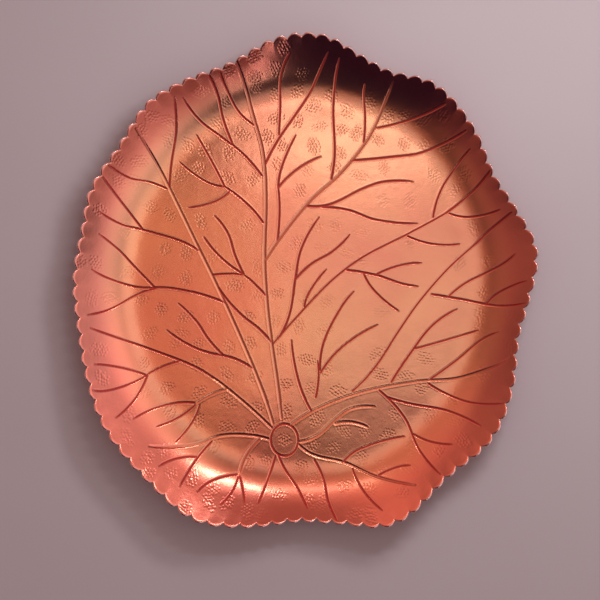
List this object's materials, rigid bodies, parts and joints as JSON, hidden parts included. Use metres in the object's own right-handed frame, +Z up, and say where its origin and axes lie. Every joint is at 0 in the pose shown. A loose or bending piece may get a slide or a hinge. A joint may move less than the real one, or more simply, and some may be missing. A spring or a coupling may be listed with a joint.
{
  "type": "hammered copper tray",
  "caption": "Shallow lily-pad-shaped hammered copper tray with a wavy petalled rim, a soft flaring wall and chased leaf veins.",
  "frame": {"origin": "on the resting plane, below the middle of the outline's box", "axes": "+Z up, out of the open side; +Y along the longest extent, towards the leaf's tip, away from the chased oval ring; +X to the right seen from above"},
  "size_m": [0.3274, 0.3484, 0.0247],
  "materials": {
    "copper": "hammered copper, satin polish with a darker patina in the chased lines"
  },
  "bodies": {
    "root": {"tray": "copper"}
  },
  "joints": []
}
